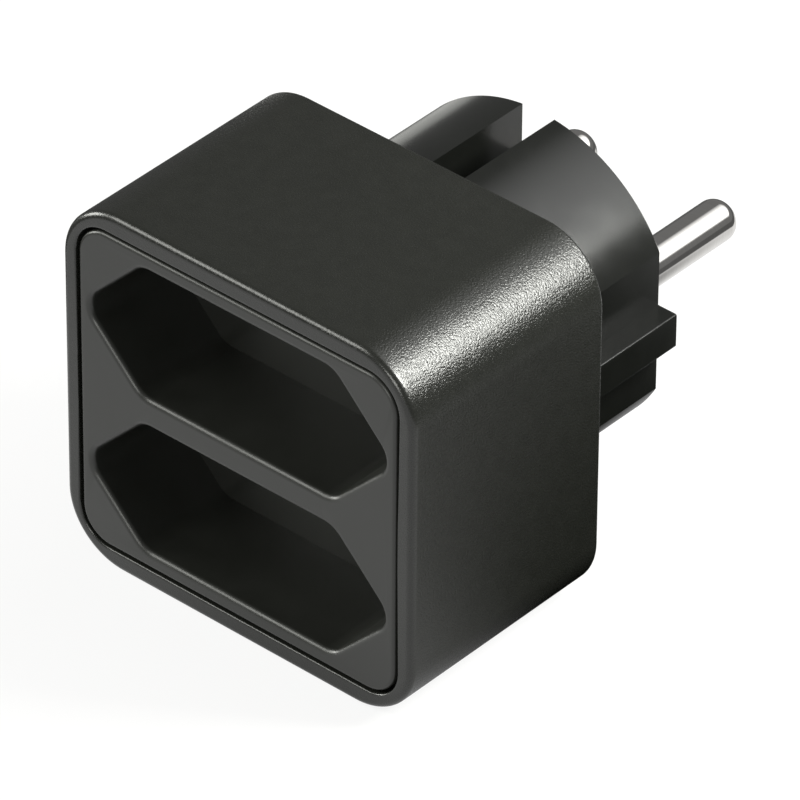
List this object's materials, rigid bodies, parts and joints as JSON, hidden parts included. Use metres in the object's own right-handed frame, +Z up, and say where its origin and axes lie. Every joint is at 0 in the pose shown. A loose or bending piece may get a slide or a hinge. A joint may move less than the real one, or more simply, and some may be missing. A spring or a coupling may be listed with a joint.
{
  "type": "plug adapter",
  "caption": "Double adapter: shuttered recessed sockets for flat mains plugs, one above the other, on a round contoured plug with two pins.",
  "frame": {"origin": "centre of the plug's end face, on the plug's axis", "axes": "+Y along the plug pins towards their tips, +Z up with one socket above the other, +X to the right as the sockets are faced"},
  "size_m": [0.0472, 0.0655, 0.0446],
  "materials": {
    "case_plastic": "fine spark-eroded texture",
    "insert_plastic": "satin moulded",
    "plug_plastic": "smooth satin moulded",
    "inner_plastic": "plain moulded",
    "shutter_plastic": "smooth moulded",
    "nickel_plate": "bright nickel plate on brass",
    "spring_steel": "drawn wire",
    "contact_brass": "stamped strip"
  },
  "bodies": {
    "housing": {"outer_sleeve": "case_plastic", "socket_insert": "insert_plastic", "plug_body": "plug_plastic", "pin_bridge": "inner_plastic", "plug_pin_left": "nickel_plate", "plug_pin_right": "nickel_plate", "contact_carrier": "inner_plastic", "shutter_retainer": "inner_plastic", "shutter_spring_upper": "spring_steel", "shutter_spring_lower": "spring_steel", "busbar_left": "contact_brass", "busbar_right": "contact_brass", "contact_clip_upper_left": "contact_brass", "contact_clip_upper_right": "contact_brass", "contact_clip_lower_left": "contact_brass", "contact_clip_lower_right": "contact_brass", "clip_rivets": "contact_brass"},
    "upper_shutter": {"shutter_upper": "shutter_plastic"},
    "lower_shutter": {"shutter_lower": "shutter_plastic"}
  },
  "joints": [
    {"name": "shutter_upper_slide", "type": "slide", "parent": "housing", "child": "upper_shutter", "axis": [1, 0, 0], "range_m": [0, 0.005], "stiffness_N_per_m": 200, "springref_m": -0.002, "deforming": ["shutter_spring_upper"]},
    {"name": "shutter_lower_slide", "type": "slide", "parent": "housing", "child": "lower_shutter", "axis": [1, 0, 0], "range_m": [0, 0.005], "stiffness_N_per_m": 200, "springref_m": -0.002, "deforming": ["shutter_spring_lower"]}
  ]
}
